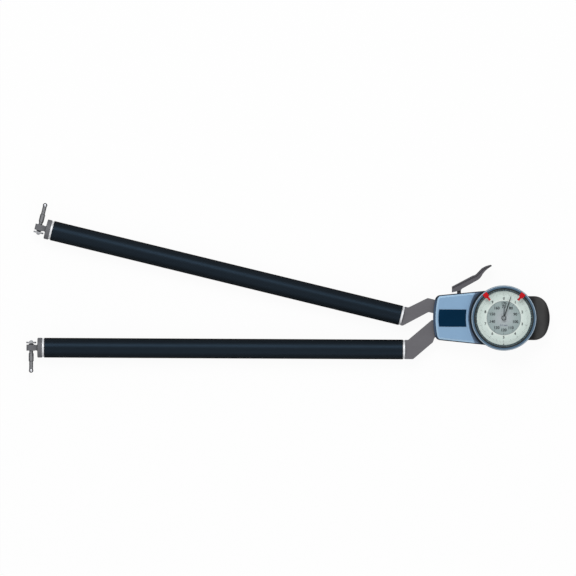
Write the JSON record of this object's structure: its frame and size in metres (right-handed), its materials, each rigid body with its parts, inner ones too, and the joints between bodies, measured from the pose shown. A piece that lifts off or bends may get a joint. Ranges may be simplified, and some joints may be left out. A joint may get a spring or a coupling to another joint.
{
  "type": "inside caliper gauge",
  "caption": "Inside caliper gauge: two long tubular arms with ball contacts, one swinging on the housing and turning the pointers of a dial, with a release lever.",
  "frame": {"origin": "where the dial axis meets the flat back of the housing", "axes": "+Z out of the dial, -X along the arms, +Y towards the release lever"},
  "size_m": [0.5238, 0.1701, 0.032],
  "materials": {
    "dark_shell": "satin paint",
    "blue_cover": "satin paint",
    "dark_plate": "satin",
    "black_grip": "satin",
    "grey_arm": "anodised",
    "laminate": "satin",
    "bright_ring": "polished",
    "tip_metal": "satin",
    "steel": "ground",
    "dark_steel": "blackened",
    "ball": "polished",
    "brass": "plain",
    "blue_bezel": "satin anodised",
    "dial_pale": "matt print",
    "dial_grey": "matt print",
    "black_hand": "matt",
    "grey_hand": "matt",
    "black_seal": "satin",
    "red_marker": "gloss",
    "glass": "clear"
  },
  "bodies": {
    "housing": {"rear_shell": "dark_shell", "front_cover": "blue_cover", "name_plate": "dark_plate", "end_grip": "black_grip", "pivot_shaft": "steel", "fulcrum_pin": "steel", "lower_bridge": "brass", "upper_bridge": "brass", "bridge_pillar_1": "steel", "bridge_pillar_2": "steel", "bridge_pillar_3": "steel", "arm_screw_1": "steel", "arm_screw_2": "steel", "cover_screw": "steel", "case_screw_1": "steel", "case_screw_2": "steel", "dial_base": "steel", "inner_dial": "dial_grey", "fixed_arm": "grey_arm", "fixed_tube": "laminate", "fixed_collar_inner": "bright_ring", "fixed_collar_outer": "bright_ring", "fixed_tip_holder": "tip_metal", "fixed_contact_pin": "steel", "fixed_contact_ball": "ball", "fixed_washer": "dark_steel", "fixed_lock_nut": "steel"},
    "moving_arm": {"moving_arm": "grey_arm", "moving_tube": "laminate", "moving_collar_inner": "bright_ring", "moving_collar_outer": "bright_ring", "moving_tip_holder": "tip_metal", "moving_contact_pin": "steel", "moving_contact_ball": "ball", "moving_washer": "dark_steel", "moving_lock_nut": "steel", "pivot_bush": "brass", "drive_pin": "steel", "sector_gear": "brass"},
    "release_lever": {"release_lever": "grey_arm"},
    "transfer_arbor": {"transfer_arbor": "steel", "transfer_wheel": "brass", "transfer_small_wheel": "brass"},
    "centre_arbor": {"centre_arbor": "steel", "long_pointer": "black_hand", "pointer_cap": "grey_hand"},
    "hour_wheel": {"hour_wheel": "brass", "short_pointer": "grey_hand"},
    "bezel": {"bezel": "blue_bezel", "scale_ring": "dial_pale", "dial_glass": "glass", "glass_seal": "black_seal"},
    "marker_left": {"marker_left": "red_marker"},
    "marker_right": {"marker_right": "red_marker"}
  },
  "joints": [
    {"name": "arm_swing", "type": "hinge", "parent": "housing", "child": "moving_arm", "pos_m": [-0.0427, 0, 0.01], "axis": [0, 0, 1], "range_deg": [0, 13.4], "stiffness_Nm_per_rad": 0.85, "springref_deg": -33.23},
    {"name": "lever_swing", "type": "hinge", "parent": "housing", "child": "release_lever", "pos_m": [-0.0447, 0.02002, 0.0141], "axis": [0, 0, 1], "range_deg": [-20.2, 0]},
    {"name": "transfer_turn", "type": "hinge", "parent": "housing", "child": "transfer_arbor", "pos_m": [-0.00782, -0.01223, 0.017], "axis": [0, 0, 1], "range_deg": [-362, 0]},
    {"name": "long_pointer_turn", "type": "hinge", "parent": "housing", "child": "centre_arbor", "pos_m": [0, 0, 0.018], "axis": [0, 0, 1], "range_deg": [0, 3619]},
    {"name": "short_pointer_turn", "type": "hinge", "parent": "housing", "child": "hour_wheel", "pos_m": [0, 0, 0.021], "axis": [0, 0, 1], "range_deg": [0, 362]},
    {"name": "bezel_turn", "type": "hinge", "parent": "housing", "child": "bezel", "pos_m": [0, 0, 0.025], "axis": [0, 0, 1], "continuous": true},
    {"name": "marker_left_shift", "type": "hinge", "parent": "bezel", "child": "marker_left", "pos_m": [0, 0, 0.0315], "axis": [0, 0, 1], "range_deg": [-30, 100]},
    {"name": "marker_right_shift", "type": "hinge", "parent": "bezel", "child": "marker_right", "pos_m": [0, 0, 0.0315], "axis": [0, 0, 1], "range_deg": [-100, 30]}
  ],
  "couplings": [
    {"joint": "lever_swing", "follows": "arm_swing", "ratio": -1.5},
    {"joint": "transfer_turn", "follows": "arm_swing", "ratio": -27},
    {"joint": "long_pointer_turn", "follows": "arm_swing", "ratio": 270},
    {"joint": "short_pointer_turn", "follows": "arm_swing", "ratio": 27}
  ]
}
